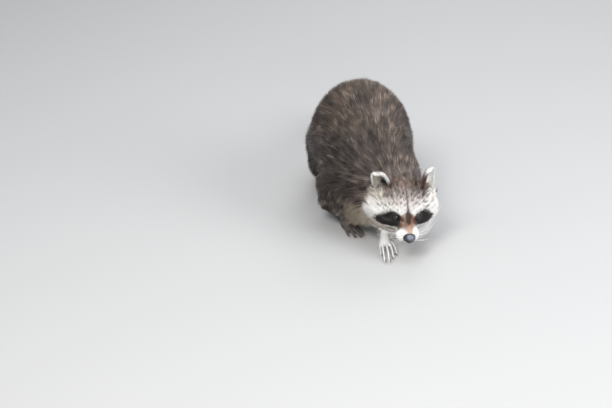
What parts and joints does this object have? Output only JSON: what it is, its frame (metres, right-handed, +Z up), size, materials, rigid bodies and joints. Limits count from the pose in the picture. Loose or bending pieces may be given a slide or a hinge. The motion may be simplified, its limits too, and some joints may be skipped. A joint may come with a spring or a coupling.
{
  "type": "raccoon",
  "caption": "Life-size still model of a raccoon stepping forward with its head held low and one forepaw reaching ahead.",
  "frame": {"origin": "the middle of the whole animal's outline in X and Y, on the floor that its paws stand on", "axes": "+Z up, the animal faces -Y, its left side is +X"},
  "size_m": [0.231, 0.652, 0.2497],
  "materials": {
    "body_fur": "long soft coat, grizzled grey-brown",
    "face_fur": "short soft fur, white brows and muzzle, black mask",
    "tail_fur": "long dense fur in dark and pale rings",
    "paw_fur": "very short fur, off-white to grey",
    "ear_fur": "short fur with a cream rim",
    "skin": "matte skin under the coat",
    "eye": "wet, very dark brown",
    "nose": "moist black, finely pebbled",
    "claw": "satin horn",
    "whisker": "stiff white hairs"
  },
  "bodies": {
    "root": {"head": "face_fur", "nose": "nose", "eye_left": "eye", "eye_right": "eye", "ear_left": "ear_fur", "ear_right": "ear_fur", "neck": "body_fur", "trunk": "body_fur", "tail_root": "tail_fur", "tail_middle": "tail_fur", "tail_tip": "tail_fur", "fore_left_upper": "body_fur", "fore_left_lower": "body_fur", "fore_left_paw": "paw_fur", "fore_left_claw_1": "claw", "fore_left_claw_2": "claw", "fore_left_claw_3": "claw", "fore_left_claw_4": "claw", "fore_left_claw_5": "claw", "fore_right_upper": "body_fur", "fore_right_lower": "body_fur", "fore_right_paw": "paw_fur", "fore_right_claw_1": "claw", "fore_right_claw_2": "claw", "fore_right_claw_3": "claw", "fore_right_claw_4": "claw", "fore_right_claw_5": "claw", "hind_left_upper": "body_fur", "hind_left_lower": "body_fur", "hind_left_paw": "paw_fur", "hind_left_claw_1": "claw", "hind_left_claw_2": "claw", "hind_left_claw_3": "claw", "hind_left_claw_4": "claw", "hind_left_claw_5": "claw", "hind_right_upper": "body_fur", "hind_right_lower": "body_fur", "hind_right_paw": "paw_fur", "hind_right_claw_1": "claw", "hind_right_claw_2": "claw", "hind_right_claw_3": "claw", "hind_right_claw_4": "claw", "hind_right_claw_5": "claw"}
  },
  "joints": []
}
